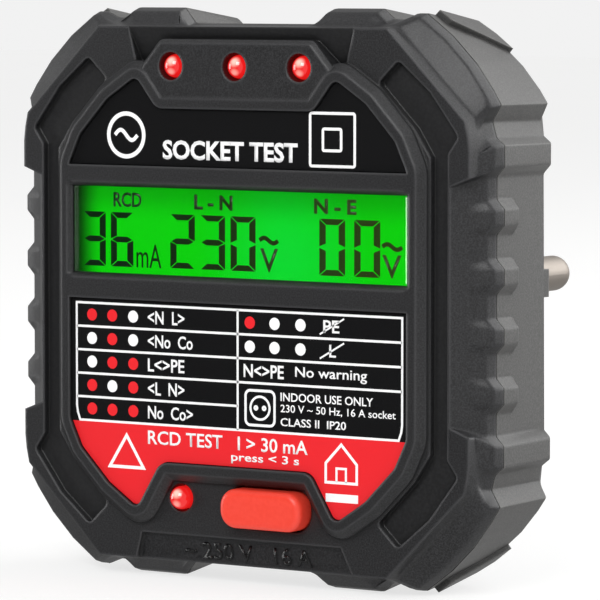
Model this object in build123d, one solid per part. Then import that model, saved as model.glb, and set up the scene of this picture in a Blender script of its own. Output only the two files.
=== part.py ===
from build123d import *
import os
from math import radians, tan
from typing import NamedTuple

os.makedirs("parts", exist_ok=True)

# A plug-in outlet tester. X runs to the right seen from the front, Z up, Y towards the wall.
# The origin is the middle of the face that meets the socket, between the two pins.
# "depth" counts from the printed label surface back towards the wall. All sizes in millimetres.

# ---- overall ------------------------------------------------------------------------------
BODY_DEPTH = 28.5        # label surface to the back of the case
BOSS_DEPTH = 18.0        # back of the case to the face that meets the socket
HALF_WIDTH = 35.1        # side wall of the grip, between the teeth
HALF_HEIGHT = 34.6       # top and bottom of the grip, between the lugs
PARTING = 5.6            # depth of the joint between the two shells
SIDE_REAR = 17.3         # depth where the side wall starts to fall in towards the back
SHOULDER = 4.2           # depth over which it turns into the slope of the back
SHOULDER_INSET = (3.1, 2.7, 2.8, 13.5)    # in from the side, the corner lobe, the top, the diagonal
BACK_INSET = (7.7, 7.7, 7.4, 19.5)        # the same at the flat back
PLATE_TOP_INSET = (4.0, 1.2, 0.4, 13.5)   # the same at the front face of the plate
PLATE_FOOT_INSET = (2.6, 0.9, 0.25, 12.7)
ENGAGE = BODY_DEPTH + BOSS_DEPTH    # depth of the face that meets the socket
FACE_Y = -ENGAGE

# ---- grip ---------------------------------------------------------------------------------
TOOTH_PITCH = 7.37
TOOTH_RISE = 1.1
TOOTH_TOP = 2.0
TOOTH_FLANK = 1.15
TOOTH_LENGTH = 3.9       # along the depth, behind the parting line
TEETH_PER_QUARTER = 2
RIB_TOP = 2.7            # the long rib beside each corner
RIB_OFFSET = 0.15
LUG_RISE = 2.0           # the long lugs on the top and bottom
LUG_INNER = 9.8
LUG_OUTER = 20.3
LUG_FLANK = 1.6
CORNER_SIDE_RISE = 0.6   # the corner lobe beyond the side wall
CORNER_TOP_RISE = 1.45   # and beyond the top wall
CORNER_X = HALF_WIDTH - 10.1      # where the diagonal meets the top
CORNER_Z = HALF_HEIGHT - 9.75     # where the diagonal meets the side
NOTCH_DROP = 2.05        # from the corner down to the notch above the rib
NOTCH_DEPTH = 0.65
SADDLE_RISE = 0.7        # between the lug and the corner
DIAGONAL_BULGE = 0.95    # the middle of the diagonal beyond the chord between its ends
DIAGONAL_SHARES = (0.14, 0.4, 0.7)    # where the bulging diagonal changes direction
SHOULDER_PAD_RISE = 0.55              # raised pads at the outer ends of the rear diagonals
SHOULDER_PAD_SHARES = (0.86, 0.58)    # where a pad ends along the diagonal, at its front and its back
SHOULDER_PAD_FRONT = 2.2              # behind the parting line

# ---- front relief -------------------------------------------------------------------------
WALL = 2.1
HOLLOW_DIAGONAL = 12.3   # from the two walls' sum to the sloping sides of the hollow inside
ROOT = 0.2               # how far a post or boss starts inside the wall it stands on
PLATE = 0.9              # depth of the raised front plate
PLATE_FOOT = 2.4         # depth where its edge meets the bumper
EDGE_DEPTH = 3.9         # depth of the bumper's outer edge
FRONT_INSIDE = 3.0       # depth of the inner face of the front wall
CROWN = -0.5             # depth of the rim round the labels
RIM_WIDTH = 2.3
RIM_BEVEL = 1.0
POCKET_DEPTH = 1.1
LABEL_T = 0.4
LABEL_GAP = 0.1
PANEL_HALF = 25.7        # the panel that holds both labels and the display
PANEL_TOP = 23.8
PANEL_BOTTOM = 21.5
EAR_X = 15.1
EAR_TOP = 27.9
EAR_BOTTOM = 27.7
EAR_SIDE = 19.7          # where the sloping sides of the ears turn down to the panel's sides
SHOULDER_X = 24.0
UPPER_LABEL_FROM = 16.4
LOWER_LABEL_TO = -0.8
SCREEN_HALF = 25.45
SCREEN_TOP = 13.65
SCREEN_BOTTOM = 2.45
SCREEN_BEVEL = 0.6
SCREEN_FLARE = 0.01      # the bevel starts this far outside the rim
PAD_HALF = 14.6
PAD_FOOT = 24.5
PAD_SHOULDER = 29.2
PAD_TOP = 32.6
PLATE_TOP = HALF_HEIGHT - PLATE_TOP_INSET[2]
RELIEF_FLOOR = 2.6
RELIEF_FOOT = 29.4       # height where the hollow above the lamps is deepest
ENGRAVED_TOP = 30.8
ENGRAVED_HALF = 15.2
ENGRAVED_STEP = 0.35
ENGRAVED_SLOPE = 0.95

# ---- display stack ------------------------------------------------------------------------
WINDOW_FRONT = 0.15
WINDOW_T = 1.0
WINDOW_GAP = 0.08
CELL_T = 2.0
CELL_MARGIN = 1.4        # glass beyond the opening, at each side
GUIDE_T = 2.6
GUIDE_MARGIN_X = 0.6
GUIDE_MARGIN_Z = -0.2
FRAME_WALL = 1.2
STACK_GAP = 0.06
CELL_FRONT = WINDOW_FRONT + WINDOW_T + STACK_GAP
GUIDE_FRONT = CELL_FRONT + CELL_T + STACK_GAP
BOARD_FRONT = 10.5
BOARD_T = 1.6
BOARD_BACK = BOARD_FRONT + BOARD_T
STRIP_W = 1.4
STRIP_OUT = 0.2          # contact strip beyond the edge of the glass
STRIP_SHORT = 0.2        # contact strip short of the opening at each end

# ---- lamps and button ---------------------------------------------------------------------
LED_R = 1.5
LED_HOLE_R = 1.8
LED_PITCH = 9.75
LED_Z = 29.2
LED_TIP = -0.6
LED_LENGTH = 5.3
LED_FLANGE_R = 1.9
LED_FLANGE_T = 1.0
TEST_LED = (-9.0, -26.0)
LEAD_SIDE = 0.5
LEAD_PITCH = 2.54
BUTTON_X = 4.5
BUTTON_Z = -26.6
BUTTON_W = 12.2
BUTTON_H = 5.0
BUTTON_FRONT = -1.7
BUTTON_GAP = 0.25
BUTTON_CORNER = 2.2
BUTTON_FLANGE = 0.9
BUTTON_FLANGE_T = 0.9
BUTTON_TRAVEL = 0.6
BUTTON_LIFT = 0.1        # flange clear of the wall at rest
SWITCH_SIZE = 6.0
SWITCH_T = 3.4
SWITCH_FRONT = BOARD_FRONT - SWITCH_T
PLUNGER_R = 1.7
PLUNGER_RISE = 0.9       # plunger above the switch case at rest
PLUNGER_BORE = 2.2       # depth of the hole it moves in
PLUNGER_GAP = 0.1

# ---- board --------------------------------------------------------------------------------
BOARD_HALF_W = 30.4
BOARD_HALF_H = 31.2
BOARD_DIAGONAL = 46.0
POST_XZ = (23.0, 22.5)
POST_R = 3.4
POST_CLEAR = 0.6
BOARD_BOSS_R = 2.4
BOARD_BOSSES = [(-27.4, -8.0), (27.4, -8.0), (-14.6, 21.4), (14.6, 21.4)]

# ---- screws -------------------------------------------------------------------------------
SCREW_R = 1.5
SCREW_HEAD_R = 2.7
SCREW_HEAD_T = 2.0
SCREW_LENGTH = 13.0
SCREW_SEAT = 25.0        # depth of the seat under the screw head
POST_JOINT = 17.0        # depth where front and rear posts meet
BOARD_SCREW_R = 1.0
BOARD_SCREW_HEAD_R = 1.9
BOARD_SCREW_HEAD_T = 1.2
BOARD_SCREW_LENGTH = 6.0

# ---- plug end -----------------------------------------------------------------------------
BOSS_R = 18.4
BOSS_FLAT = 16.5
BOSS_WALL = 2.2
BOSS_END_T = 3.0
BOSS_RIB_W = 3.7
BOSS_RIB_X = 18.9
PIN_PITCH = 19.0
PIN_R = 2.4
PIN_LENGTH = 19.0
PIN_FLANGE_R = PIN_R + 1.2
PIN_FLANGE_T = 2.0
PIN_ROOT_R = PIN_R + 0.2      # thicker root that sits in the end wall of the plug body
PIN_TAIL_R = 1.6
PIN_TAIL = 7.0
PIN_FIT = 0.05
END_WALL = ENGAGE - BOSS_END_T               # inner face of the plug body's end wall
RETAINER_T = 3.0
RETAINER_FRONT = END_WALL - PIN_FLANGE_T - RETAINER_T
RETAINER_SIZE = (28.0, 13.0)
RETAINER_SCREW_Z = 4.6
RETAINER_SCREW_LENGTH = 6.6
RETAINER_SCREW_SKIN = 0.8     # wall left in front of the screw's point
EARTH_W = 5.6
EARTH_T = 0.8
EARTH_SLOT_W = 7.0
EARTH_FLOOR = 15.6
EARTH_BULGE = 0.9
EARTH_LENGTH = 12.0
EARTH_GAP = 0.1
LEAD_R = 0.8


def y_at(depth):
    return FACE_Y + depth


def slab(depth):
    """Drawing plane across the tester at a depth, seen from the front."""
    return Plane(origin=(0, y_at(depth), 0), x_dir=(1, 0, 0), z_dir=(0, -1, 0))


def prism(sketch, front, back):
    return extrude(slab(back) * sketch, amount=back - front)


def face_of(points):
    return make_face(Polyline(*points, close=True))


def ruled(sections):
    """Solid with straight-sided walls through several outlines with the same corner count."""
    return loft([slab(depth) * face_of(points) for points, depth in sections], ruled=True)


def rod(x, z, radius, front, back):
    return prism(Pos(x, z) * Circle(radius), front, back)


def box(x_range, z_range, front, back):
    width = x_range[1] - x_range[0]
    height = z_range[1] - z_range[0]
    middle = Pos((x_range[0] + x_range[1]) / 2, (z_range[0] + z_range[1]) / 2)
    return prism(middle * Rectangle(width, height), front, back)


def mirrored(points):
    """Close a quarter outline, given from the right-hand side up to the top, on all four sides."""
    upper = points + [(-x, z) for x, z in reversed(points)]
    return upper + [(x, -z) for x, z in reversed(upper)]


class Levels(NamedTuple):
    """How far out each stretch of the grip outline stands at one depth."""
    wall: float
    tooth: float
    rib: float
    shoulder: float
    notch: float
    corner_side: tuple
    corner_top: tuple
    top: float
    lug: float
    saddle: float
    bulge: float


def grip_levels(inset, lug_inset=0.0, tooth=TOOTH_RISE):
    """Levels of the grip outline, drawn in by an inset."""
    return Levels(
        wall=HALF_WIDTH - inset,
        tooth=HALF_WIDTH + tooth - inset,
        rib=HALF_WIDTH + TOOTH_RISE - inset,
        shoulder=HALF_WIDTH - 0.1 - inset,
        notch=HALF_WIDTH - NOTCH_DEPTH - inset,
        corner_side=(HALF_WIDTH + CORNER_SIDE_RISE - inset, CORNER_Z - 0.4 * inset),
        corner_top=(CORNER_X - 0.4 * inset, HALF_HEIGHT + CORNER_TOP_RISE - inset - lug_inset),
        top=HALF_HEIGHT - inset - lug_inset / 2,
        lug=HALF_HEIGHT + LUG_RISE - inset - lug_inset,
        saddle=HALF_HEIGHT + SADDLE_RISE - inset - lug_inset,
        bulge=DIAGONAL_BULGE,
    )


def on_diagonal(level, share, rise=0.0):
    """Point of the bulging diagonal at a share of its length from the side, raised by some amount."""
    start, end = Vector(*level.corner_side), Vector(*level.corner_top)
    along = end - start
    outward = Vector(along.Y, -along.X).normalized()
    point = start + along * share + outward * (4 * level.bulge * share * (1 - share) + rise)
    return point.X, point.Y


def grip_outline(level):
    """Outline of the grip at one depth. Its corner count never changes, so outlines can be joined."""
    side = []
    for index in range(TEETH_PER_QUARTER):
        middle = (index + 0.5) * TOOTH_PITCH
        half = TOOTH_TOP / 2
        side.append((level.wall, middle - half - TOOTH_FLANK))
        side.append((level.tooth, middle - half))
        side.append((level.tooth, middle + half))
        side.append((level.wall, middle + half + TOOTH_FLANK))
    rib_middle = (TEETH_PER_QUARTER + 0.5) * TOOTH_PITCH + RIB_OFFSET
    side.append((level.wall, rib_middle - RIB_TOP / 2 - TOOTH_FLANK))
    side.append((level.rib, rib_middle - RIB_TOP / 2))
    side.append((level.rib, rib_middle + RIB_TOP / 2))
    side.append((level.shoulder, rib_middle + RIB_TOP / 2 + TOOTH_FLANK * 0.8))
    side.append((level.notch, CORNER_Z - NOTCH_DROP))
    top = [
        (CORNER_X - 1.3, level.corner_top[1]),
        (LUG_OUTER + 1.7, level.saddle),
        (LUG_OUTER, level.saddle),
        (LUG_OUTER - LUG_FLANK, level.lug),
        (LUG_INNER + LUG_FLANK, level.lug),
        (LUG_INNER, level.top),
    ]
    # the stretches follow the corners where the case gets smaller towards the back
    side_scale = level.corner_side[1] / CORNER_Z
    top_scale = level.corner_top[0] / CORNER_X
    quarter = [(x, z * side_scale) for x, z in side]
    quarter += [level.corner_side]
    quarter += [on_diagonal(level, share) for share in DIAGONAL_SHARES]
    quarter += [level.corner_top]
    quarter += [(x * top_scale, z) for x, z in top]
    return mirrored(quarter)


def plate_levels(insets):
    """Outline that is narrow at mid-height, with lobes towards the corners, from four insets."""
    side_in, lobe_in, top_in, diagonal_in = insets
    side = HALF_WIDTH - side_in
    lobe = HALF_WIDTH - lobe_in
    top = HALF_HEIGHT - top_in
    diagonal = HALF_WIDTH + HALF_HEIGHT - diagonal_in
    return Levels(
        wall=side,
        tooth=side,
        rib=lobe,
        shoulder=lobe,
        notch=lobe - 0.2,
        corner_side=(lobe - 0.6, diagonal - lobe + 0.6),
        corner_top=(diagonal - top, top),
        top=top,
        lug=top,
        saddle=top,
        bulge=0.0,
    )


def panel_outline():
    """The rounded panel that carries the labels and the display."""
    right = [
        (EAR_X - 3.2, PANEL_TOP),
        (EAR_X, EAR_TOP),
        (EAR_SIDE, EAR_TOP - 3.0),
        (SHOULDER_X, EAR_TOP - 7.6),
        (PANEL_HALF, EAR_TOP - 11.3),
        (PANEL_HALF, 11.1 - EAR_BOTTOM),
        (SHOULDER_X, 7.5 - EAR_BOTTOM),
        (EAR_SIDE, 3.1 - EAR_BOTTOM),
        (EAR_X, -EAR_BOTTOM),
        (EAR_X - 3.7, -PANEL_BOTTOM),
    ]
    left = [(-x, z) for x, z in reversed(right)]
    corners = face_of(right + left)
    tips = [v for v in corners.vertices() if abs(abs(v.X) - EAR_X) < 0.1]
    corners = fillet(tips, 1.1)
    knees = [v for v in corners.vertices() if abs(v.X) < EAR_X - 2.6]
    corners = fillet(knees, 2.0)
    sides = [v for v in corners.vertices() if abs(v.X) > EAR_SIDE - 0.7 and abs(v.Y) > 16.0]
    return fillet(sides, 2.4)


def band(sketch, low, high):
    """The stretch of a sketch between two heights."""
    return sketch & (Pos(0, (low + high) / 2) * Rectangle(4 * PANEL_HALF, high - low))


def screen_area(margin_x, margin_z):
    """The display opening, made larger by a margin across and a margin up and down."""
    width = 2 * (SCREEN_HALF + margin_x)
    height = SCREEN_TOP - SCREEN_BOTTOM + 2 * margin_z
    return Pos(0, (SCREEN_TOP + SCREEN_BOTTOM) / 2) * Rectangle(width, height)


PANEL = panel_outline()
SCREEN = screen_area(0, 0)


def grown(sketch, amount):
    return offset(sketch, amount=amount, kind=Kind.ARC)


def pocket_outline(side):
    """The C-shaped hollow beside the panel: a narrow channel with a wide lobe at each end."""
    inner = PANEL_HALF + RIM_WIDTH
    outer = HALF_WIDTH - PLATE_TOP_INSET[0]
    upper = [
        (inner + 0.3, 18.4),
        (inner - 2.0, 21.9),
        (inner - 7.4, 27.4),
        (inner - 4.4, 30.3),
        (outer - 2.9, 26.4),
        (outer + 1.2, 21.0),
        (outer - 0.3, 18.9),
    ]
    lower = [(x, -z) for x, z in reversed(upper)]
    outline = face_of([(side * x, z) for x, z in upper + lower])
    return fillet(outline.vertices(), 0.7)


def wedge(points, x_half):
    """Block drawn in the depth-height plane and carried across the tester."""
    corners = [(y_at(depth), z) for depth, z in points]
    return extrude(Plane.YZ * face_of(corners), amount=x_half, both=True)


def front_relief():
    """Solids that are cut from the plate: the sloped hollow above the lamps and the rating panel."""
    half_foot = PAD_HALF + 1.3
    hollow_sides = face_of([
        (-half_foot - 2.2, PLATE_TOP + 4),
        (-half_foot, RELIEF_FOOT),
        (half_foot, RELIEF_FOOT),
        (half_foot + 2.2, PLATE_TOP + 4),
    ])
    hollow_profile = [
        (PLATE, PLATE_TOP),
        (RELIEF_FLOOR, RELIEF_FOOT),
        (CROWN - 3, RELIEF_FOOT),
        (CROWN - 3, PLATE_TOP + 1),
    ]
    hollow = wedge(hollow_profile, half_foot + 4) & prism(hollow_sides, CROWN - 4, RELIEF_FLOOR + 1)
    rating_sides = face_of([
        (-ENGRAVED_HALF, -ENGRAVED_TOP),
        (ENGRAVED_HALF, -ENGRAVED_TOP),
        (ENGRAVED_HALF + 3.4, -HALF_HEIGHT - 3),
        (-ENGRAVED_HALF - 1.8, -HALF_HEIGHT - 3),
    ])
    rating_profile = [
        (PLATE + ENGRAVED_STEP, -ENGRAVED_TOP),
        (PLATE + ENGRAVED_STEP + ENGRAVED_SLOPE, -HALF_HEIGHT - 3),
        (CROWN - 3.5, -HALF_HEIGHT - 3),
        (CROWN - 3.5, -ENGRAVED_TOP),
    ]
    rating = wedge(rating_profile, ENGRAVED_HALF + 4.8) & prism(rating_sides, CROWN - 3.5, EDGE_DEPTH)
    return hollow, rating


def lamp_pad():
    """Raised pad with sloping shoulders that the three signal lamps come through."""
    right = [(PAD_HALF, PAD_FOOT), (PAD_HALF, PAD_SHOULDER), (PAD_HALF - 3.0, PAD_TOP)]
    outline = face_of(right + [(-x, z) for x, z in reversed(right)])
    outline = fillet([v for v in outline.vertices() if v.Y > PAD_FOOT + 1], 1.2)
    pad = prism(outline, CROWN + 0.15, FRONT_INSIDE)
    front_edges = pad.edges().filter_by_position(Axis.Y, y_at(CROWN + 0.1), y_at(CROWN + 0.2))
    return chamfer(front_edges.filter_by(lambda edge: edge.center().Z > PAD_FOOT + 1), 0.5)


def inset_octagon(side_in, top_in, diagonal_in):
    """Eight corners of a hollow, from its distances inside the side, the top and the diagonal."""
    half_width = HALF_WIDTH - side_in
    half_height = HALF_HEIGHT - top_in
    return octagon_points(half_width, half_height, HALF_WIDTH + HALF_HEIGHT - diagonal_in)


def front_shell():
    """Front half of the case: sloping bumper, plate, raised rims, and what the inside needs."""
    plate_foot = grip_outline(plate_levels(PLATE_FOOT_INSET))
    body = ruled([
        (plate_foot, PLATE_FOOT),
        (grip_outline(grip_levels(0.5)), EDGE_DEPTH),
        (grip_outline(grip_levels(0)), PARTING),
    ])
    body += ruled([
        (grip_outline(plate_levels(PLATE_TOP_INSET)), PLATE),
        (plate_foot, PLATE_FOOT),
    ])
    rim = prism(grown(PANEL, RIM_WIDTH), CROWN, FRONT_INSIDE)
    rim = chamfer(rim.faces().sort_by(Axis.Y)[0].outer_wire().edges(), RIM_BEVEL)
    hollow, rating = front_relief()
    body = body - hollow - rating
    body = body + rim + lamp_pad()
    for side in (-1, 1):
        pocket = pocket_outline(side) - grown(PANEL, RIM_WIDTH)
        body -= prism(pocket, PLATE - 2, PLATE + POCKET_DEPTH)
    body -= prism(band(PANEL, UPPER_LABEL_FROM, EAR_TOP), CROWN - 1, LABEL_T)
    body -= prism(band(PANEL, -EAR_BOTTOM, LOWER_LABEL_TO), CROWN - 1, LABEL_T)
    body -= prism(SCREEN, CROWN - 1, FRONT_INSIDE + 1)
    bevel = loft([
        slab(CROWN - SCREEN_FLARE) * grown(SCREEN, SCREEN_BEVEL),
        slab(CROWN + SCREEN_BEVEL) * SCREEN,
    ])
    body -= bevel
    cell_gap = CELL_MARGIN + STACK_GAP
    body -= prism(screen_area(cell_gap, cell_gap), WINDOW_FRONT + WINDOW_T, FRONT_INSIDE + 1)
    # hollow inside, stepped so that the sloped bumper keeps its thickness
    body -= prism(grown(face_of(inset_octagon(4.7, 3.8, 18.2)), 0.5), FRONT_INSIDE, EDGE_DEPTH + 1)
    body -= prism(face_of(inset_octagon(WALL, WALL, HOLLOW_DIAGONAL)), EDGE_DEPTH + 0.8, PARTING + 1)
    body -= prism(button_outline(BUTTON_GAP), CROWN - 2, FRONT_INSIDE + 1)
    for x, z in lamp_places():
        body -= rod(x, z, LED_HOLE_R, CROWN - 1, FRONT_INSIDE + 1)
    for x, z in post_places():
        body += rod(x, z, POST_R, FRONT_INSIDE - ROOT, POST_JOINT)
        body -= rod(x, z, SCREW_R, SCREW_SEAT - SCREW_LENGTH - 1, POST_JOINT + 1)
    for x, z in BOARD_BOSSES:
        body += rod(x, z, BOARD_BOSS_R, FRONT_INSIDE - ROOT, BOARD_FRONT)
        pilot_end = BOARD_BACK - BOARD_SCREW_LENGTH - 0.5
        body -= rod(x, z, BOARD_SCREW_R, pilot_end, BOARD_FRONT + 1)
    return body


def octagon_points(half_width, half_height, diagonal):
    """Eight corners; diagonal is the across and up distances added at the sloping sides."""
    return mirrored([(half_width, diagonal - half_width), (diagonal - half_height, half_height)])


def button_outline(gap):
    outline = RectangleRounded(BUTTON_W + 2 * gap, BUTTON_H + 2 * gap, BUTTON_CORNER + gap)
    return Pos(BUTTON_X, BUTTON_Z) * outline


def lamp_places():
    row = [(index * LED_PITCH, LED_Z) for index in (-1, 0, 1)]
    return row + [TEST_LED]


def post_places():
    return [(sx * POST_XZ[0], sz * POST_XZ[1]) for sx in (-1, 1) for sz in (-1, 1)]


def grip_tooth(side, middle):
    """Short tooth behind the parting line, with a rounded rear end."""
    half = TOOTH_TOP / 2
    root = HALF_WIDTH - 1.0
    top = HALF_WIDTH + TOOTH_RISE
    slope = TOOTH_FLANK * 1.9
    outline = face_of([
        (side * root, middle - half - slope),
        (side * top, middle - half),
        (side * top, middle + half),
        (side * root, middle + half + slope),
    ])
    tooth = prism(outline, PARTING, PARTING + TOOTH_LENGTH)
    rear_y = y_at(PARTING + TOOTH_LENGTH)
    rear = tooth.edges().filter_by_position(Axis.Y, rear_y - 0.01, rear_y + 0.01)
    crest = [edge for edge in rear if abs(edge.center().X) > HALF_WIDTH]
    return chamfer(crest, 0.45)


def shoulder_pad(front_level, back_level):
    """Raised pad over the upper end of a rear diagonal; its edge slants down towards the back."""
    sections = []
    depths = (PARTING + SHOULDER_PAD_FRONT, SIDE_REAR)
    for level, share, depth in zip((front_level, back_level), SHOULDER_PAD_SHARES, depths):
        middle = (share + 1) / 2
        outside = [on_diagonal(level, at, SHOULDER_PAD_RISE) for at in (share, middle, 1)]
        inside = [on_diagonal(level, at, -WALL / 2) for at in (1, middle, share)]
        sections.append((outside + inside, depth))
    return ruled(sections)


def boss_section(shrink):
    """Section of the plug body: a disc with a flat on each side."""
    return Circle(BOSS_R - shrink) & Rectangle(2 * (BOSS_FLAT - shrink), 4 * BOSS_R)


def rear_shell():
    """Rear half of the case with the plug body, its ribs, the earth channels and the screw posts."""
    parting = grip_levels(0, tooth=0)
    rear = grip_levels(0.25, lug_inset=1.2, tooth=0)
    falling = plate_levels(SHOULDER_INSET)
    back = plate_levels(BACK_INSET)
    outer = ruled([
        (grip_outline(parting), PARTING),
        (grip_outline(rear), SIDE_REAR),
        (grip_outline(falling), SIDE_REAR + SHOULDER),
        (grip_outline(back), BODY_DEPTH),
    ])
    for side in (-1, 1):
        for index in range(-TEETH_PER_QUARTER, TEETH_PER_QUARTER):
            outer += grip_tooth(side, (index + 0.5) * TOOTH_PITCH)
    pad = shoulder_pad(parting, rear)
    pads = [pad, pad.mirror(Plane.YZ)]
    pads += [piece.mirror(Plane.XY) for piece in pads]
    for piece in pads:
        outer += piece
    outer += prism(boss_section(0), BODY_DEPTH - 1, ENGAGE)
    ribs = Rectangle(2 * BOSS_RIB_X, BOSS_RIB_W)
    outer += prism(ribs, BODY_DEPTH - 1, ENGAGE - 0.4)
    inner = ruled([
        (inset_octagon(WALL, WALL, HOLLOW_DIAGONAL), PARTING - 1),
        (inset_octagon(2.5, 2.8, 13.1), SIDE_REAR),
        (inset_octagon(5.5, 5.2, 16.9), SIDE_REAR + SHOULDER),
        (inset_octagon(8.7, 8.4, 20.9), BODY_DEPTH - WALL),
    ])
    body = outer - inner
    body -= prism(boss_section(BOSS_WALL), BODY_DEPTH - WALL - 1, END_WALL)
    channel_half = EARTH_SLOT_W / 2
    channel_end = ENGAGE - EARTH_LENGTH - 2.2
    slot_half = EARTH_W / 2 + EARTH_GAP
    slot_front, slot_back = earth_bridge_depths()
    for side in (-1, 1):
        # channel for the earth blade, its floor, and the slot the bridge passes through
        z_out = side * (BOSS_R + 2)
        z_floor = side * EARTH_FLOOR
        z_wall = side * (EARTH_FLOOR - BOSS_WALL)
        low, high = sorted((z_floor, z_wall))
        body += box((-channel_half - 1, channel_half + 1), (low, high), BODY_DEPTH - WALL, ENGAGE - 1)
        low, high = sorted((z_floor, z_out))
        body -= box((-channel_half, channel_half), (low, high), channel_end, ENGAGE + 1)
        low, high = sorted((z_floor + side, z_wall - side))
        body -= box((-slot_half, slot_half), (low, high), slot_front - EARTH_GAP, slot_back + EARTH_GAP)
        body -= rod(side * PIN_PITCH / 2, 0, PIN_ROOT_R + PIN_FIT, END_WALL - 1, ENGAGE + 1)
    for x, z in post_places():
        body += rod(x, z, POST_R, POST_JOINT, BODY_DEPTH - WALL + 0.5)
        body -= rod(x, z, SCREW_R + 0.2, POST_JOINT - 1, BODY_DEPTH + 1)
        body -= rod(x, z, SCREW_HEAD_R + 0.25, SCREW_SEAT, BODY_DEPTH + 1)
    for z in (-RETAINER_SCREW_Z, RETAINER_SCREW_Z):
        body -= rod(0, z, BOARD_SCREW_R, END_WALL - 1, ENGAGE - RETAINER_SCREW_SKIN)
    return body


def earth_bridge_depths():
    front = ENGAGE - EARTH_LENGTH - 1.6
    return front, front + EARTH_T


def earth_contact():
    """Sprung strip: a blade outside the plug body at top and bottom, joined by a bridge inside."""
    front, back = earth_bridge_depths()
    reach = EARTH_FLOOR + EARTH_GAP
    end = ENGAGE - 0.9
    outline = [
        (front, reach + EARTH_T),
        (front + 3.0, reach + EARTH_T),
        (front + 6.5, reach + EARTH_T + EARTH_BULGE),
        (front + 9.0, reach + EARTH_T + EARTH_BULGE),
        (end, reach + EARTH_T),
        (end, reach),
        (front + 8.8, reach + EARTH_BULGE),
        (front + 6.7, reach + EARTH_BULGE),
        (front + 3.2, reach),
        (back, reach),
    ]
    lower = [(depth, -z) for depth, z in reversed(outline)]
    points = [(y_at(depth), z) for depth, z in outline + lower]
    return extrude(Plane.YZ * face_of(points), amount=EARTH_W / 2, both=True)


def plug_pin(x):
    """Turned pin with a domed end, a flange behind the end wall and a tail for its lead."""
    tip = ENGAGE + PIN_LENGTH - PIN_R
    flange_front = END_WALL - PIN_FLANGE_T
    pin = rod(x, 0, PIN_R, ENGAGE - 0.5, tip)
    pin += rod(x, 0, PIN_ROOT_R, END_WALL - 0.5, ENGAGE)
    pin += Pos(x, y_at(tip), 0) * Sphere(PIN_R)
    pin += rod(x, 0, PIN_FLANGE_R, flange_front, END_WALL)
    return pin + rod(x, 0, PIN_TAIL_R, flange_front - PIN_TAIL, flange_front)


def pin_retainer():
    """Plate that clamps both pin flanges against the end wall of the plug body."""
    plate = prism(RectangleRounded(*RETAINER_SIZE, 3.0), RETAINER_FRONT, END_WALL - STACK_GAP)
    for side in (-1, 1):
        x = side * PIN_PITCH / 2
        plate -= rod(x, 0, PIN_FLANGE_R + PIN_FIT, END_WALL - PIN_FLANGE_T, END_WALL + 1)
        plate -= rod(x, 0, PIN_TAIL_R + PIN_FIT, RETAINER_FRONT - 1, END_WALL)
        hole = BOARD_SCREW_R + 0.1
        plate -= rod(0, side * RETAINER_SCREW_Z, hole, RETAINER_FRONT - 1, END_WALL + 1)
    return plate


def pan_screw(x, z, radius, head_radius, head_t, seat, length):
    """Screw put in from the back: pan head with a cross recess, and a tapered point."""
    shank = rod(x, z, radius, seat - length + radius, seat)
    point = Pos(x, y_at(seat - length), z) * Rot(90, 0, 0) * Cone(radius, 0.3 * radius, radius)
    point = Pos(0, radius / 2, 0) * point
    head = rod(x, z, head_radius, seat, seat + head_t)
    head = fillet(head.edges().sort_by(Axis.Y)[-1], head_t * 0.35)
    recess = Pos(x, z) * (Rectangle(head_radius * 1.1, 0.5) + Rectangle(0.5, head_radius * 1.1))
    head -= prism(recess, seat + head_t - head_t * 0.5, seat + head_t + 1)
    return shank + point + head


def small_screw(x, z, seat, length):
    return pan_screw(x, z, BOARD_SCREW_R, BOARD_SCREW_HEAD_R, BOARD_SCREW_HEAD_T, seat, length)


def retainer_screw(z):
    """Screw that clamps the retainer against the end wall, driven from inside the case."""
    screw = small_screw(0, 0, ENGAGE, RETAINER_SCREW_LENGTH)
    return Pos(0, y_at(RETAINER_FRONT), z) * Rot(0, 0, 180) * screw


def wire(points, radius):
    path = FilletPolyline(*points, radius=corner_radii(points))
    start = Plane(origin=path @ 0, z_dir=path % 0)
    return sweep(start * Circle(radius), path=path)


def corner_radii(points):
    """Largest tangent arc that each corner's two runs leave room for."""
    corners = [Vector(*point) for point in points]
    radii = []
    for before, corner, after in zip(corners, corners[1:], corners[2:]):
        come = corner - before
        go = after - corner
        half_turn = radians(come.get_angle(go)) / 2
        radii.append(0.45 * min(come.length, go.length) / tan(half_turn))
    return radii


def lead(start, start_depth, middle, end, end_depth):
    """Insulated lead from a terminal in the plug body to a pad on the board."""
    half = (start_depth + end_depth) / 2
    points = [
        (start[0], y_at(start_depth), start[1]),
        (start[0], y_at(start_depth - 3.2), start[1]),
        (middle[0], y_at(half), middle[1]),
        (end[0], y_at(end_depth + 3.2), end[1]),
        (end[0], y_at(end_depth), end[1]),
    ]
    print("lead radii", [round(radius, 1) for radius in corner_radii(points)])
    return wire(points, LEAD_R)


def lamp(x, z):
    """Round 3 mm lamp: domed lens with a small flange at its base."""
    base = LED_TIP + LED_LENGTH
    lens = rod(x, z, LED_R, LED_TIP + LED_R, base)
    lens += Pos(x, y_at(LED_TIP + LED_R), z) * Sphere(LED_R)
    return lens + rod(x, z, LED_FLANGE_R, base - LED_FLANGE_T, base)


def lamp_leads():
    """Two square legs under each lamp, down through the board."""
    legs = []
    base = LED_TIP + LED_LENGTH
    for x, z in lamp_places():
        for side in (-1, 1):
            section = Pos(x + side * LEAD_PITCH / 2, z) * Rectangle(LEAD_SIDE, LEAD_SIDE)
            legs.append(prism(section, base, BOARD_BACK + 0.8))
    return Compound(children=legs)


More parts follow.
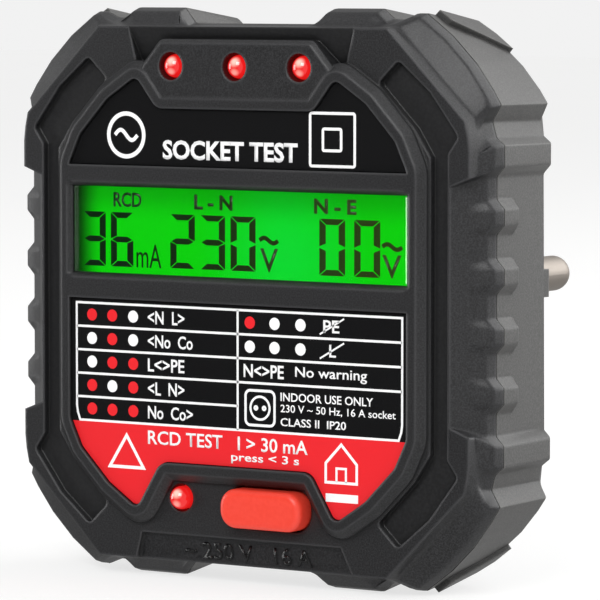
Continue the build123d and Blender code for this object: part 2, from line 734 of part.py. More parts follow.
def test_button():
    """Rounded cap with a flange that keeps it in, and a stem that reaches the switch."""
    wall_back = FRONT_INSIDE + BUTTON_LIFT
    cap = prism(button_outline(0), BUTTON_FRONT, wall_back + BUTTON_FLANGE_T)
    cap = fillet(cap.faces().sort_by(Axis.Y)[0].edges(), 0.9)
    cap += prism(button_outline(BUTTON_FLANGE), wall_back, wall_back + BUTTON_FLANGE_T)
    return cap + rod(BUTTON_X, BUTTON_Z, 2.2, wall_back + 0.5, SWITCH_FRONT - PLUNGER_RISE)


def switch_body():
    case = prism(Pos(BUTTON_X, BUTTON_Z) * Rectangle(SWITCH_SIZE, SWITCH_SIZE), SWITCH_FRONT, BOARD_FRONT)
    case = chamfer(case.edges().filter_by(Axis.Y), 0.5)
    bore_end = SWITCH_FRONT + PLUNGER_BORE
    return case - rod(BUTTON_X, BUTTON_Z, PLUNGER_R + PLUNGER_GAP, SWITCH_FRONT - 1, bore_end)


def switch_plunger():
    bottom = SWITCH_FRONT + PLUNGER_BORE - BUTTON_TRAVEL - 0.3
    return rod(BUTTON_X, BUTTON_Z, PLUNGER_R, SWITCH_FRONT - PLUNGER_RISE, bottom)


def lcd_window():
    pane = prism(grown(SCREEN, -WINDOW_GAP), WINDOW_FRONT, WINDOW_FRONT + WINDOW_T)
    return chamfer(pane.faces().sort_by(Axis.Y)[0].edges(), 0.15)


def lcd_cell():
    """Display glass: the front sheet is shorter than the back one, which leaves a contact ledge."""
    sheet_back = CELL_FRONT + CELL_T / 2
    front_sheet = prism(screen_area(CELL_MARGIN, 0.4), CELL_FRONT, sheet_back)
    return front_sheet + prism(screen_area(CELL_MARGIN, CELL_MARGIN), sheet_back, CELL_FRONT + CELL_T)


def lcd_light_guide():
    guide = prism(screen_area(GUIDE_MARGIN_X, GUIDE_MARGIN_Z), GUIDE_FRONT, GUIDE_FRONT + GUIDE_T)
    return chamfer(guide.edges().filter_by(Axis.Y), 0.6)


def strip_ranges(gap):
    """Heights of the upper and lower contact strips, with a gap round each."""
    upper_top = SCREEN_TOP + CELL_MARGIN + STRIP_OUT
    lower_bottom = SCREEN_BOTTOM - CELL_MARGIN - STRIP_OUT
    upper = (upper_top - STRIP_W - gap, upper_top + gap)
    lower = (lower_bottom - gap, lower_bottom + STRIP_W + gap)
    return upper, lower


def lcd_frame():
    """Moulded holder that spaces the glass off the board and carries the light guide."""
    margin = CELL_MARGIN + 0.4
    frame = prism(screen_area(margin, margin + FRAME_WALL), GUIDE_FRONT, BOARD_FRONT)
    guide_room = screen_area(GUIDE_MARGIN_X + STACK_GAP, GUIDE_MARGIN_Z + STACK_GAP)
    frame -= prism(guide_room, GUIDE_FRONT - 1, GUIDE_FRONT + GUIDE_T)
    frame -= prism(screen_area(-1.4, -1.6), GUIDE_FRONT - 1, BOARD_FRONT + 1)
    slot_half = SCREEN_HALF + STRIP_SHORT
    for heights in strip_ranges(STACK_GAP):
        frame -= box((-slot_half, slot_half), heights, 0, BOARD_FRONT + 1)
    return frame


def elastomer_strips():
    """Conductive rubber strips that join the ledges of the glass to the board."""
    half = SCREEN_HALF - STRIP_SHORT
    front = GUIDE_FRONT - STACK_GAP
    return group(box((-half, half), heights, front, BOARD_FRONT) for heights in strip_ranges(0))


def main_board():
    """Circuit board with holes for the case posts, its own screws and the lamp legs."""
    outline = octagon_points(BOARD_HALF_W, BOARD_HALF_H, BOARD_DIAGONAL)
    board = prism(face_of(outline), BOARD_FRONT, BOARD_BACK)
    holes = [(x, z, POST_R + POST_CLEAR) for x, z in post_places()]
    holes += [(x, z, BOARD_SCREW_R + 0.2) for x, z in BOARD_BOSSES]
    for x, z in lamp_places():
        holes += [(x + side * LEAD_PITCH / 2, z, 0.8 * LEAD_SIDE) for side in (-1, 1)]
    for x, z, radius in holes:
        board -= rod(x, z, radius, BOARD_FRONT - 1, BOARD_BACK + 1)
    return board


def chip(x, z, width, height, thickness, legs):
    """Flat packaged chip with gull-wing legs along its two long sides."""
    outline = Pos(x, z) * Rectangle(width, height)
    body = prism(outline, BOARD_BACK + 0.15, BOARD_BACK + thickness)
    pitch = width / (legs + 1)
    for index in range(legs):
        leg_x = x - width / 2 + (index + 1) * pitch
        for side in (-1, 1):
            low, high = sorted((z + side * (height / 2 - 0.3), z + side * (height / 2 + 1.0)))
            body += box((leg_x - 0.2, leg_x + 0.2), (low, high), BOARD_BACK, BOARD_BACK + 0.5)
    return body


def film_capacitor():
    block = box((-19.0, -6.0), (-19.5, -13.5), BOARD_BACK + 0.3, BOARD_BACK + 11.0)
    block = fillet(block.edges(), 0.6)
    for x in (-17.5, -7.5):
        block += rod(x, -16.5, 0.35, BOARD_BACK, BOARD_BACK + 0.8)
    return block


def electrolytic_capacitor():
    can = rod(20.5, 6.0, 4.0, BOARD_BACK + 0.3, BOARD_BACK + 12.0)
    can = fillet(can.edges().sort_by(Axis.Y)[-1], 0.5)
    groove_depth = BOARD_BACK + 2.0
    can -= prism(Pos(20.5, 6.0) * (Circle(4.5) - Circle(3.7)), groove_depth, groove_depth + 0.7)
    for x in (18.75, 22.25):
        can += rod(x, 6.0, 0.3, BOARD_BACK, BOARD_BACK + 0.8)
    return can


def varistor():
    disc = Pos(-21.0, y_at(BOARD_BACK + 6.0), 8.0) * Cylinder(4.5, 3.2)
    disc = fillet(disc.edges(), 1.2)
    for x in (-23.5, -18.5):
        disc += rod(x, 8.0, 0.35, BOARD_BACK, BOARD_BACK + 3.5)
    return disc


def power_resistors():
    """Four load resistors that draw the test current, standing in a row on bent leads."""
    row = []
    for index in range(4):
        z = -9.0 + index * 6.2
        body = Pos(0, y_at(BOARD_BACK + 3.6), z) * Rot(0, 90, 0) * Cylinder(2.0, 11.0)
        body = fillet(body.edges(), 0.8)
        for side in (-1, 1):
            body += Pos(side * 6.3, y_at(BOARD_BACK + 3.6), z) * Rot(0, 90, 0) * Cylinder(0.35, 2.6)
            body += rod(side * 7.3, z, 0.35, BOARD_BACK, BOARD_BACK + 3.8)
        row.append(body)
    return Compound(children=row)


def bridge_rectifier():
    block = box((12.5, 19.5), (-13.0, -7.0), BOARD_BACK + 0.15, BOARD_BACK + 3.0)
    block = chamfer(block.edges().filter_by(Axis.Y), 0.6)
    for x in (13.8, 18.2):
        block += box((x - 0.5, x + 0.5), (-14.6, -5.4), BOARD_BACK, BOARD_BACK + 0.6)
    return block


def triac():
    block = box((-3.0, 3.0), (19.0, 25.5), BOARD_BACK + 0.1, BOARD_BACK + 2.4)
    tab = box((-2.6, 2.6), (25.4, 27.2), BOARD_BACK, BOARD_BACK + 0.9)
    legs = [box((x - 0.4, x + 0.4), (16.6, 19.2), BOARD_BACK, BOARD_BACK + 0.6) for x in (-2.2, 2.2)]
    return block + tab + legs[0] + legs[1]


def group(pieces):
    return Compound(children=list(pieces))


def build_parts():
    tail = END_WALL - PIN_FLANGE_T - PIN_TAIL
    bridge_front = earth_bridge_depths()[0]
    label = grown(PANEL, -LABEL_GAP)
    half_pitch = PIN_PITCH / 2
    lamps = lamp_places()
    return {
        "front_shell": front_shell(),
        "rear_shell": rear_shell(),
        "upper_label": prism(band(label, UPPER_LABEL_FROM + LABEL_GAP, EAR_TOP), 0, LABEL_T),
        "lower_label": prism(band(label, -EAR_BOTTOM, LOWER_LABEL_TO - LABEL_GAP), 0, LABEL_T),
        "lcd_window": lcd_window(),
        "lcd_cell": lcd_cell(),
        "lcd_light_guide": lcd_light_guide(),
        "lcd_frame": lcd_frame(),
        "elastomer_strips": elastomer_strips(),
        "led_left": lamp(*lamps[0]),
        "led_centre": lamp(*lamps[1]),
        "led_right": lamp(*lamps[2]),
        "led_test": lamp(*lamps[3]),
        "led_leads": lamp_leads(),
        "test_button": test_button(),
        "switch_plunger": switch_plunger(),
        "switch_body": switch_body(),
        "main_board": main_board(),
        "controller_chip": chip(0, -24.0, 12.0, 7.0, 1.8, 8),
        "film_capacitor": film_capacitor(),
        "electrolytic_capacitor": electrolytic_capacitor(),
        "varistor": varistor(),
        "power_resistors": power_resistors(),
        "bridge_rectifier": bridge_rectifier(),
        "triac": triac(),
        "pin_line": plug_pin(-half_pitch),
        "pin_neutral": plug_pin(half_pitch),
        "pin_retainer": pin_retainer(),
        "earth_contact": earth_contact(),
        "lead_line": lead((-half_pitch, 0), tail, (-13.0, -1.5), (-14.0, 3.0), BOARD_BACK),
        "lead_neutral": lead((half_pitch, 0), tail, (12.6, 1.5), (13.2, -3.0), BOARD_BACK),
        "lead_earth": lead((0, 11.0), bridge_front, (-7.5, 12.3), (-12.0, 14.0), BOARD_BACK),
        "shell_screws": group(
            pan_screw(x, z, SCREW_R, SCREW_HEAD_R, SCREW_HEAD_T, SCREW_SEAT, SCREW_LENGTH)
            for x, z in post_places()
        ),
        "retainer_screws": group(retainer_screw(z) for z in (-RETAINER_SCREW_Z, RETAINER_SCREW_Z)),
        "board_screws": group(
            small_screw(x, z, BOARD_BACK, BOARD_SCREW_LENGTH) for x, z in BOARD_BOSSES
        ),
    }


for name, part in build_parts().items():
    export_step(part, f"parts/{name}.step")
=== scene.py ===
import math
import bmesh
import bpy
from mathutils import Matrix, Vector


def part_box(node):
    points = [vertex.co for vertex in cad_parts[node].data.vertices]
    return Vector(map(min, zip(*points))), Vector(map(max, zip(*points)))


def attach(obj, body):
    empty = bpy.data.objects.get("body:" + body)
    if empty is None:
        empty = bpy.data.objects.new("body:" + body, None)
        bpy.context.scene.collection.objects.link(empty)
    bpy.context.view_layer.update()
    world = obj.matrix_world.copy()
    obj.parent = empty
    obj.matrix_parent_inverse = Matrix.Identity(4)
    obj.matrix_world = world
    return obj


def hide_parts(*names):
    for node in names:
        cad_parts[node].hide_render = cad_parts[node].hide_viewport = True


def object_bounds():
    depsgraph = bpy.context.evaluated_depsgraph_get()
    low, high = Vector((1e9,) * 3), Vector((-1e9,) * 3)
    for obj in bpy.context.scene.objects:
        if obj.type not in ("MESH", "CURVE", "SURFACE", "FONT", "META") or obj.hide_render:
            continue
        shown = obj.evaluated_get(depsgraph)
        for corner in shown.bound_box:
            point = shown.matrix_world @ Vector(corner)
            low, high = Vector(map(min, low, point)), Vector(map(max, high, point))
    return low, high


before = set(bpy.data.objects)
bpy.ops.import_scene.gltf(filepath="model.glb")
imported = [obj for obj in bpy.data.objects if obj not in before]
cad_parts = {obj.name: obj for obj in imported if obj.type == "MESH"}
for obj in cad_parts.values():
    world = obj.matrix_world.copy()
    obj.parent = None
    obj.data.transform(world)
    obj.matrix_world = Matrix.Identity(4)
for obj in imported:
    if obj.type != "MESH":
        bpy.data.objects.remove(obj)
cad_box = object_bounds()


# ---- Camera ----
# A long lens a little above the middle of the case, looking at its front and its right-hand side.
# The picture is square. Azimuths and elevations are in degrees; azimuth 0 is straight in front.
mm = 0.001
camera_azimuth, camera_elevation, camera_distance = 33.336, 4.179, 0.59825
picture_middle = Vector((-7.783, -19.876, -2.159)) * mm


def outward(azimuth, elevation):
    """Unit vector from the case towards an azimuth and an elevation."""
    turn, rise = math.radians(azimuth), math.radians(elevation)
    return Vector((math.sin(turn) * math.cos(rise), -math.cos(turn) * math.cos(rise), math.sin(rise)))


def look_from(thing, azimuth, elevation, distance):
    """Add a camera or a lamp to the scene, looking at the middle of the picture from that side."""
    back = outward(azimuth, elevation)
    thing.location = picture_middle + back * distance
    thing.rotation_mode = "QUATERNION"
    thing.rotation_quaternion = (-back).to_track_quat("-Z", "Y")
    bpy.context.scene.collection.objects.link(thing)


camera = bpy.data.objects.new("camera", bpy.data.cameras.new("camera"))
look_from(camera, camera_azimuth, camera_elevation, camera_distance)
bpy.context.scene.camera = camera
camera.data.sensor_width = 36.0
camera.data.lens = 271.46
camera.data.clip_start = 0.05


# ---- Floor and light ----
# A pale seamless floor under the foot of the case, a white room, one strong soft box behind the
# right-hand side and two weak ones in front, so that the dark case keeps a bright side and soft edges.
def srgb(hex_colour):
    """Linear RGBA of an sRGB hex colour."""
    channels = [int(hex_colour[i:i + 2], 16) / 255 for i in (1, 3, 5)]
    linear = [c / 12.92 if c <= 0.04045 else ((c + 0.055) / 1.055) ** 2.4 for c in channels]
    return (*linear, 1.0)


def add(tree, kind, settings=None, inputs=None):
    """Add a node with its settings. An input is a value, or the output socket that feeds it."""
    node = tree.nodes.new(kind)
    for name, value in (settings or {}).items():
        setattr(node, name, value)
    for name, value in (inputs or {}).items():
        if isinstance(value, bpy.types.NodeSocket):
            tree.links.new(value, node.inputs[name])
        else:
            node.inputs[name].default_value = value
    return node


def new_material(name):
    """An empty material; its node tree and the output node."""
    material = bpy.data.materials.new(name)
    material.use_nodes = True
    material.node_tree.nodes.clear()
    output = add(material.node_tree, "ShaderNodeOutputMaterial")
    return material, material.node_tree, output


def placed(name, mesh):
    """An object at the origin that shows a mesh."""
    piece = bpy.data.objects.new(name, mesh)
    bpy.context.scene.collection.objects.link(piece)
    return piece


def new_object(name, bm, *materials):
    """A mesh object at the origin from a bmesh, which is freed."""
    mesh = bpy.data.meshes.new(name)
    bm.to_mesh(mesh)
    bm.free()
    for material in materials:
        mesh.materials.append(material)
    return placed(name, mesh)


# matt pale paper with a faint unevenness; it lights itself a little, so that it stays pale far away
paper, tree, output = new_material("matt_paper_floor")
coords = add(tree, "ShaderNodeTexCoord")
mottle = add(tree, "ShaderNodeTexNoise", None, {"Vector": coords.outputs["Object"], "Scale": 3.0})
tone = add(tree, "ShaderNodeMix", {"data_type": "RGBA"}, {
    "Factor": mottle.outputs["Fac"], "A": srgb("#8d8d8c"), "B": srgb("#949493"),
})
shader = add(tree, "ShaderNodeBsdfPrincipled", None, {
    "Base Color": tone.outputs["Result"], "Roughness": 0.95,
    "Emission Color": srgb("#ffffff"), "Emission Strength": 0.72,
})
tree.links.new(shader.outputs["BSDF"], output.inputs["Surface"])
floor_reach, floor_z = 3.0, cad_box[0].z
floor_bm = bmesh.new()
bmesh.ops.create_grid(floor_bm, x_segments=8, y_segments=8, size=floor_reach)
bmesh.ops.translate(floor_bm, verts=floor_bm.verts, vec=(0, 0, floor_z))
floor = new_object("floor", floor_bm, paper)
floor.visible_glossy = False
floor.visible_transmission = False

# the room is white, but one side of it is dark, as behind a black flag, so that the front keeps its
# depth; the flag fades out between two angles from its middle
flag_side = outward(-camera_azimuth, -camera_elevation)
flag_core, flag_rim = math.cos(math.radians(30)), math.cos(math.radians(62))
flag_strength, wall_strength, backdrop_strength = 0.02, 0.5, 0.887
world = bpy.data.worlds.new("studio")
world.use_nodes = True
bpy.context.scene.world = world
tree = world.node_tree
tree.nodes.clear()
output = add(tree, "ShaderNodeOutputWorld")
direction = add(tree, "ShaderNodeTexCoord")
facing_flag = add(tree, "ShaderNodeVectorMath", {"operation": "DOT_PRODUCT"}, {
    0: direction.outputs["Generated"], 1: flag_side,
})
walls = add(tree, "ShaderNodeMapRange", {"interpolation_type": "SMOOTHSTEP"}, {
    "Value": facing_flag.outputs["Value"], "From Min": flag_rim, "From Max": flag_core,
    "To Min": wall_strength, "To Max": flag_strength,
})
path = add(tree, "ShaderNodeLightPath")
strength = add(tree, "ShaderNodeMix", {"data_type": "FLOAT"}, {
    "Factor": path.outputs["Is Camera Ray"], "A": walls.outputs["Result"], "B": backdrop_strength,
})
room = add(tree, "ShaderNodeBackground", None, {
    "Color": srgb("#ffffff"), "Strength": strength.outputs["Result"],
})
tree.links.new(room.outputs["Background"], output.inputs["Surface"])
bpy.context.scene.view_settings.view_transform = "Standard"


def soft_box(name, azimuth, elevation, distance, size, power):
    """Square area light of a size in metres and a power in watts."""
    light = bpy.data.lights.new(name, "AREA")
    light.shape = "SQUARE"
    light.size = size
    light.energy = power
    look_from(bpy.data.objects.new(name, light), azimuth, elevation, distance)


soft_box("side_box", 133, 34, 0.75, 0.95, 6.4)
soft_box("front_box", 14, 34, 0.8, 0.4, 3.2)
soft_box("left_box", -72, 3, 0.8, 0.4, 1.8)


# ---- Case shells ----
# A charcoal front and a greyer rear half, both moulded in ABS with a fine spark-eroded grain.
# They are screwed together from the back, and their moulded edges are slightly rounded.
def moulded(name, dark, light, roughness, grain, bump, edge=None, corner=0.3 * mm):
    """Moulded plastic in two close tones, with a grain and rounded corners of given sizes in metres.
    edge is the colour of a painted highlight along open corners; hollows then also get painted shade."""
    material, tree, output = new_material(name)
    coords = add(tree, "ShaderNodeTexCoord")
    vector = coords.outputs["Object"]
    fine = add(tree, "ShaderNodeTexNoise", None, {
        "Vector": vector, "Scale": 1 / grain, "Detail": 1.0, "Roughness": 0.5,
    })
    broad = add(tree, "ShaderNodeTexNoise", None, {
        "Vector": vector, "Scale": 1 / (16.7 * mm), "Detail": 3.0,
    })
    speck = add(tree, "ShaderNodeMapRange", None, {
        "Value": fine.outputs["Fac"], "From Min": 0.35, "From Max": 0.7,
    })
    tone = add(tree, "ShaderNodeMix", {"data_type": "RGBA"}, {
        "Factor": speck.outputs["Result"], "A": srgb(dark), "B": srgb(light),
    })
    shine = add(tree, "ShaderNodeMapRange", None, {
        "Value": broad.outputs["Fac"], "To Min": roughness - 0.05, "To Max": roughness + 0.05,
    })
    rounded = add(tree, "ShaderNodeBevel", {"samples": 6}, {"Radius": corner})
    relief = add(tree, "ShaderNodeBump", None, {
        "Strength": bump, "Distance": 0.25 * grain, "Height": fine.outputs["Fac"],
        "Normal": rounded.outputs["Normal"],
    })
    shader = add(tree, "ShaderNodeBsdfPrincipled", None, {
        "Base Color": tone.outputs["Result"], "Roughness": shine.outputs["Result"],
        "Normal": relief.outputs["Normal"], "IOR": 1.52,
    })
    if edge:
        # painted highlight where a corner turns and stands in the open, painted shade where a hollow
        # closes in
        flat = add(tree, "ShaderNodeNewGeometry")
        turn = add(tree, "ShaderNodeVectorMath", {"operation": "DOT_PRODUCT"}, {
            0: flat.outputs["Normal"], 1: rounded.outputs["Normal"],
        })
        open_air = add(tree, "ShaderNodeAmbientOcclusion", {"samples": 6}, {"Distance": 0.9 * mm})
        corner_turn_mask = add(tree, "ShaderNodeMapRange", None, {
            "Value": turn.outputs["Value"], "From Min": 0.995, "From Max": 0.93,
        })
        clear = add(tree, "ShaderNodeMapRange", None, {
            "Value": open_air.outputs["AO"], "From Min": 0.8, "From Max": 1.0, "To Max": 0.75,
        })
        painted_highlight_mask = add(tree, "ShaderNodeMath", {"operation": "MULTIPLY"}, {
            0: corner_turn_mask.outputs["Result"], 1: clear.outputs["Result"],
        })
        pale = add(tree, "ShaderNodeMix", {"data_type": "RGBA"}, {
            "Factor": painted_highlight_mask.outputs["Value"], "A": tone.outputs["Result"], "B": srgb(edge),
        })
        # painted shade: the colour darkens where the hollow closes in round the point
        painted_crease_shade = add(tree, "ShaderNodeMapRange", None, {
            "Value": open_air.outputs["AO"], "From Min": 0.35, "From Max": 0.95,
            "To Min": 0.25, "To Max": 1.0,
        })
        highlighted_and_shaded = add(tree, "ShaderNodeVectorMath", {"operation": "SCALE"}, {
            0: pale.outputs["Result"], "Scale": painted_crease_shade.outputs["Result"],
        })
        tree.links.new(highlighted_and_shaded.outputs["Vector"], shader.inputs["Base Color"])
    tree.links.new(shader.outputs["BSDF"], output.inputs["Surface"])
    return material


# a dry, softly speckled sheen; the polished floors and strips beside it look smoother and darker
# the last colour of each case plastic is its painted highlight on open corners
rear_abs = moulded("abs_grey_spark_eroded", "#454544", "#575655", 0.48, 0.22 * mm, 0.3, "#7c7b78")
front_abs = moulded(
    "abs_charcoal_spark_eroded", "#1d1d1e", "#333335", 0.44, 0.2 * mm, 0.4, "#4a4a4c", 0.55 * mm,
)
polished_abs = moulded("abs_charcoal_polished", "#242425", "#2b2b2c", 0.38, 0.4 * mm, 0.08, "#3a3a3b")


def plain_mesh(piece):
    """The mesh of a piece as its modifiers leave it; the piece itself is removed."""
    graph = bpy.context.evaluated_depsgraph_get()
    mesh = bpy.data.meshes.new_from_object(piece.evaluated_get(graph))
    bpy.data.objects.remove(piece)
    return mesh


def soft_edged(node, outside, *materials):
    """Merged copy of a CAD node with its outer edges rounded: the sharp ones for which outside is true,
    unless they are too short for the radius."""
    radius, rounded_from, smoothed = 0.25 * mm, math.radians(28), math.radians(35)
    bm = bmesh.new()
    bm.from_mesh(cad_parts[node].data)
    bmesh.ops.remove_doubles(bm, verts=bm.verts, dist=1e-6)
    bmesh.ops.dissolve_limit(bm, angle_limit=math.radians(0.5), verts=bm.verts, edges=bm.edges)
    sharp = [
        edge for edge in bm.edges
        if edge.is_manifold and edge.calc_face_angle() > rounded_from
        and edge.calc_length() > 4 * radius and outside(edge)
    ]
    bmesh.ops.bevel(
        bm, geom=sharp, offset=radius, offset_type="OFFSET", segments=2, profile=0.6,
        affect="EDGES", clamp_overlap=False,
    )
    for face in bm.faces:
        face.smooth = True
    for edge in bm.edges:
        edge.smooth = edge.is_manifold and edge.calc_face_angle() < smoothed
    rough = new_object(node + "_rough", bm, *materials)
    even = rough.modifiers.new("even_shading", "WEIGHTED_NORMAL")
    even.keep_sharp = True
    even.weight = 80
    return placed(node + "_moulding", plain_mesh(rough))


label_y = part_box("upper_label")[0].y
case_back_y = label_y + 28.6 * mm
pad_x, pad_z = 24.6 * mm, 30.8 * mm
plug_body_reach = 26.6 * mm


def on_grip(edge):
    """True for an edge on the outside of the grip, away from the raised pads and the plug body."""
    middle = (edge.verts[0].co + edge.verts[1].co) / 2
    across, up = abs(middle.x), abs(middle.z)
    on_pad = across > pad_x and up > pad_z
    return middle.y < case_back_y and max(across, up) > plug_body_reach and not on_pad


rear = soft_edged("rear_shell", on_grip, rear_abs)
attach(rear, "case")
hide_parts("rear_shell")


bumper_reach, bumper_diagonal, bumper_depth = 32.5 * mm, 55.5 * mm, 2.2 * mm


def on_bumper(edge):
    """True for an edge on the sloping bumper round the plate."""
    middle = (edge.verts[0].co + edge.verts[1].co) / 2
    across, up = abs(middle.x), abs(middle.z)
    beyond = max(across, up) > bumper_reach or across + up > bumper_diagonal
    return beyond and middle.y > label_y + bumper_depth


front = soft_edged("front_shell", on_bumper, front_abs, polished_abs)
# polished in the mould: the floors of the hollows beside the panel, and the strip next to the joint
for face in front.data.polygons:
    depth = face.center.y - label_y
    hollow = face.normal.y < -0.9 and 1.6 * mm < depth < 2.4 * mm
    strip = abs(face.normal.y) < 0.2 and depth > 4.0 * mm
    face.material_index = 1 if hollow or strip else 0
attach(front, "case")
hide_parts("front_shell")


# ---- Plug pins, retainer and earth contact ----
# Turned brass pins with a satin nickel plating, clamped by a white moulded plate;
# the earth contact is one strip of spring brass, plated too.
def finish_node(node, material):
    """Give a CAD node its finished material."""
    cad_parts[node].material_slots[0].material = material


def plated(name, colour, roughness, streak):
    """Plated metal: fine marks across the Y axis, of a given pitch in metres, over soft stains 4 mm
    wide, which give it a satin sheen that varies a little."""
    material, tree, output = new_material(name)
    coords = add(tree, "ShaderNodeTexCoord")
    vector = coords.outputs["Object"]
    marks = add(tree, "ShaderNodeTexWave", {"bands_direction": "Y"}, {
        "Vector": vector, "Scale": 2 * math.pi / (20 * streak), "Distortion": 1.5, "Detail": 2.0,
    })
    stains = add(tree, "ShaderNodeTexNoise", None, {
        "Vector": vector, "Scale": 1 / (4 * mm), "Detail": 3.0,
    })
    shine = add(tree, "ShaderNodeMapRange", None, {
        "Value": stains.outputs["Fac"], "To Min": roughness - 0.08, "To Max": roughness + 0.1,
    })
    relief = add(tree, "ShaderNodeBump", None, {
        "Strength": 0.08, "Distance": 0.2 * streak, "Height": marks.outputs["Fac"],
    })
    shader = add(tree, "ShaderNodeBsdfPrincipled", None, {
        "Base Color": srgb(colour), "Metallic": 1.0, "Roughness": shine.outputs["Result"],
        "Normal": relief.outputs["Normal"],
    })
    tree.links.new(shader.outputs["BSDF"], output.inputs["Surface"])
    return material


nickel = plated("satin_nickel_on_brass", "#a39b93", 0.46, 0.1 * mm)
spring_brass = plated("nickel_plated_spring_brass", "#cfc9b8", 0.38, 0.25 * mm)
white_abs = moulded("white_moulded_abs", "#d6d5cf", "#e6e5e0", 0.42, 0.3 * mm, 0.15)
for pin in ("pin_line", "pin_neutral"):
    finish_node(pin, nickel)
finish_node("earth_contact", spring_brass)
finish_node("pin_retainer", white_abs)


# ---- Screws ----
# Zinc-plated pan-head screws, cold-formed from steel wire: four hold the shells together, two the
# retainer and four the board. Their bluish plating is a little brighter than the nickel.
zinc = plated("zinc_plated_steel", "#b9bcc0", 0.3, 0.12 * mm)
for screws in ("shell_screws", "retainer_screws", "board_screws"):
    finish_node(screws, zinc)


# ---- Leads ----
# Stranded copper in extruded PVC, soldered to the board and coloured by what each one joins: brown
# for line, blue for neutral, and green with yellow bands for earth.
def sleeved(name, colour, stripe=None):
    """Glossy extruded plastic skin, faintly wavy, with slanting bands of a second colour if it has one."""
    material, tree, output = new_material(name)
    coords = add(tree, "ShaderNodeTexCoord")
    ripple = add(tree, "ShaderNodeTexNoise", None, {
        "Vector": coords.outputs["Object"], "Scale": 1 / (1.11 * mm), "Detail": 1.0,
    })
    relief = add(tree, "ShaderNodeBump", None, {
        "Strength": 0.15, "Distance": 0.05 * mm, "Height": ripple.outputs["Fac"],
    })
    shader = add(tree, "ShaderNodeBsdfPrincipled", None, {
        "Base Color": srgb(colour), "Roughness": 0.32, "Normal": relief.outputs["Normal"],
    })
    if stripe:
        band_pitch = 5.24 * mm
        bands = add(tree, "ShaderNodeTexWave", {"bands_direction": "DIAGONAL"}, {
            "Vector": coords.outputs["Object"], "Scale": 2 * math.pi / (10 * band_pitch),
        })
        split = add(tree, "ShaderNodeValToRGB", None, {"Fac": bands.outputs["Fac"]})
        split.color_ramp.interpolation = "CONSTANT"
        split.color_ramp.elements[0].color = srgb(colour)
        split.color_ramp.elements[1].position = 0.6
        split.color_ramp.elements[1].color = srgb(stripe)
        tree.links.new(split.outputs["Color"], shader.inputs["Base Color"])
    tree.links.new(shader.outputs["BSDF"], output.inputs["Surface"])
    return material


finish_node("lead_line", sleeved("pvc_brown", "#5a2f1b"))
finish_node("lead_neutral", sleeved("pvc_blue", "#1f4fa8"))
finish_node("lead_earth", sleeved("pvc_green_yellow", "#2c8a35", "#e8d21c"))


# ---- Board and its components ----
# A glass-epoxy board under green solder mask, held by four screws, with its components soldered in.
# Each component has its own moulded, dipped or sleeved skin.
# glossy green varnish, through which the weave of the glass just shows
mask, tree, output = new_material("solder_mask_on_glass_epoxy")
coords = add(tree, "ShaderNodeTexCoord")
weave = add(tree, "ShaderNodeTexBrick", {"offset": 0.5}, {
    "Vector": coords.outputs["Object"], "Scale": 1.0,
    "Color1": srgb("#0f5a2a"), "Color2": srgb("#12662f"), "Mortar": srgb("#0b4721"),
    "Brick Width": 0.9 * mm, "Row Height": 0.45 * mm, "Mortar Size": 0.05 * mm,
})
relief = add(tree, "ShaderNodeBump", None, {
    "Strength": 0.2, "Distance": 0.02 * mm, "Height": weave.outputs["Fac"],
})
shader = add(tree, "ShaderNodeBsdfPrincipled", None, {
    "Base Color": weave.outputs["Color"], "Roughness": 0.28, "Normal": relief.outputs["Normal"],
})
tree.links.new(shader.outputs["BSDF"], output.inputs["Surface"])
finish_node("main_board", mask)

# dull black, yellow, blue and grey-blue skins, each with the grain of its own process
epoxy = moulded("black_moulded_epoxy", "#1c1c1d", "#29292a", 0.48, 0.15 * mm, 0.3)
for part in ("controller_chip", "bridge_rectifier", "triac", "switch_body"):
    finish_node(part, epoxy)
yellow_polyester = moulded("yellow_moulded_polyester", "#c99a1e", "#d8ac2c", 0.35, 0.3 * mm, 0.1)
finish_node("film_capacitor", yellow_polyester)
finish_node("electrolytic_capacitor", sleeved("black_shrink_sleeve", "#17181f"))
finish_node("varistor", moulded("blue_dipped_epoxy", "#1d4f9c", "#2a5fae", 0.22, 0.8 * mm, 0.3))
finish_node("power_resistors", moulded("grey_blue_enamel", "#6f8a99", "#8299a6", 0.5, 0.2 * mm, 0.3))
finish_node("led_leads", plated("tinned_wire", "#c9c9c6", 0.3, 0.2 * mm))
